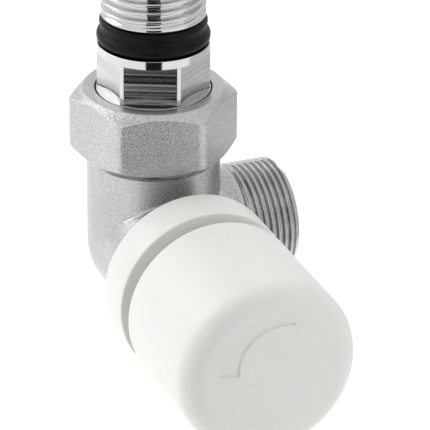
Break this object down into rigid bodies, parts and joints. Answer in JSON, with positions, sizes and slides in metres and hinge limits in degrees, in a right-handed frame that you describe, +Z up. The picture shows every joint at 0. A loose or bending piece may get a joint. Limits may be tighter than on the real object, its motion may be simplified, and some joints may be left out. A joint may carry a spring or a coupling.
{
  "type": "corner lockshield radiator valve",
  "caption": "Corner lockshield radiator valve: union tail up, male pipe outlet to one side, headwork under a plain pull-off shield cap.",
  "frame": {"origin": "centre of the pipe outlet's end face", "axes": "+X out of the pipe outlet, +Z up along the radiator tail, -Y along the headwork towards the shield cap; the three axes cross 28 mm inside the outlet"},
  "size_m": [0.0461, 0.0788, 0.0819],
  "materials": {
    "satin_nickel": "nickel plate over sandblasted forged brass, fine grained satin",
    "polished_nickel": "bright nickel plate over turned brass",
    "brass": "turned, unplated",
    "white_plastic": "moulded white plastic, soft satin gloss",
    "inner_plastic": "moulded off-white plastic",
    "black_rubber": "moulded rubber",
    "ptfe": "plain PTFE",
    "spring_steel": "stamped spring steel"
  },
  "bodies": {
    "valve": {"valve_body": "satin_nickel", "bonnet": "brass", "bonnet_o_ring": "black_rubber", "cap_collar": "white_plastic", "spindle_circlip": "spring_steel"},
    "tail": {"tailpiece": "polished_nickel", "tailpiece_seal": "black_rubber", "union_o_ring": "black_rubber"},
    "nut": {"union_nut": "satin_nickel"},
    "disc": {"disc_holder": "brass", "disc_washer": "black_rubber", "disc_screw": "brass", "thrust_washer": "ptfe", "swivel_clip": "spring_steel"},
    "stem": {"spindle": "brass", "spindle_o_ring_inner": "black_rubber", "spindle_o_ring_outer": "black_rubber"},
    "clip_insert": {"cap_insert": "inner_plastic"},
    "shield": {"cap": "white_plastic", "insert_retaining_ring": "spring_steel"}
  },
  "joints": [
    {"name": "tail_lift", "type": "slide", "parent": "valve", "child": "tail", "axis": [0, 0, 1], "range_m": [0, 0.00816]},
    {"name": "nut_turn", "type": "hinge", "parent": "tail", "child": "nut", "pos_m": [-0.028, 0, 0.027], "axis": [0, 0, 1], "range_deg": [0, 1620]},
    {"name": "disc_travel", "type": "slide", "parent": "valve", "child": "disc", "axis": [0, -1, 0], "range_m": [0, 0.004]},
    {"name": "stem_turn", "type": "hinge", "parent": "disc", "child": "stem", "pos_m": [-0.028, -0.02, 0], "axis": [0, -1, 0], "range_deg": [0, 1440]},
    {"name": "cap_pull", "type": "slide", "parent": "valve", "child": "clip_insert", "axis": [0, -1, 0], "range_m": [0, 0.045]},
    {"name": "cap_spin", "type": "hinge", "parent": "clip_insert", "child": "shield", "pos_m": [-0.028, -0.045, 0], "axis": [0, -1, 0], "continuous": true}
  ],
  "couplings": [
    {"joint": "nut_turn", "follows": "tail_lift", "rad_per_m": 3463.2},
    {"joint": "stem_turn", "follows": "disc_travel", "rad_per_m": 6283.2}
  ]
}
